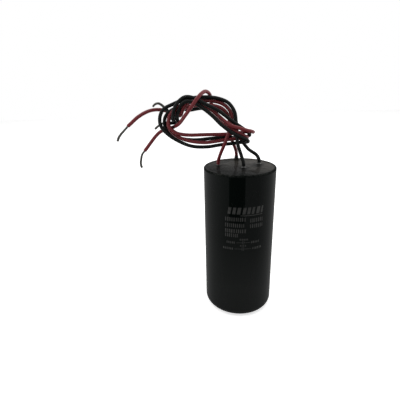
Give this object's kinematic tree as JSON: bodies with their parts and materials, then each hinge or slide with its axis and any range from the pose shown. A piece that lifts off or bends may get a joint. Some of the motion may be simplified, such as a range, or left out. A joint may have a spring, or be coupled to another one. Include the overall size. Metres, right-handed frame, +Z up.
{
  "type": "motor run capacitor",
  "caption": "Black moulded plastic motor run capacitor, potted, with red and black stripped flying leads looped in a loose bundle above its top.",
  "frame": {"origin": "centre of the underside, on the surface the can stands on", "axes": "+Z up along the can's axis, -Y to the viewer's side, +X to the viewer's right"},
  "size_m": [0.1075, 0.05, 0.1587],
  "materials": {
    "case_plastic": "moulded black, satin to glossy",
    "resin": "cast, glossy and slightly wavy",
    "film": "rolled metallised film",
    "core_plastic": "natural polypropylene tube",
    "sprayed_zinc": "arc-sprayed, rough and grey",
    "pressboard": "plain pressboard",
    "solder": "soft solder",
    "red_insulation": "extruded PVC, satin",
    "black_insulation": "extruded PVC, satin",
    "tinned_copper": "twisted strands, dipped in solder"
  },
  "bodies": {
    "root": {"case": "case_plastic", "potting_resin": "resin", "main_winding": "film", "main_core": "core_plastic", "main_lower_spray": "sprayed_zinc", "main_upper_spray": "sprayed_zinc", "section_divider": "pressboard", "aux_winding": "film", "aux_core": "core_plastic", "aux_lower_spray": "sprayed_zinc", "aux_upper_spray": "sprayed_zinc", "solder_joint_red_1": "solder", "solder_joint_red_2": "solder", "solder_joint_black_1": "solder", "solder_joint_black_2": "solder", "potted_red_1": "red_insulation", "potted_red_2": "red_insulation", "potted_black_1": "black_insulation", "potted_black_2": "black_insulation", "red_lead_1": "red_insulation", "red_lead_2": "red_insulation", "black_lead_1": "black_insulation", "black_lead_2": "black_insulation", "tinned_end_red_1": "tinned_copper", "tinned_end_red_2": "tinned_copper", "tinned_end_black_1": "tinned_copper", "tinned_end_black_2": "tinned_copper"}
  },
  "joints": []
}
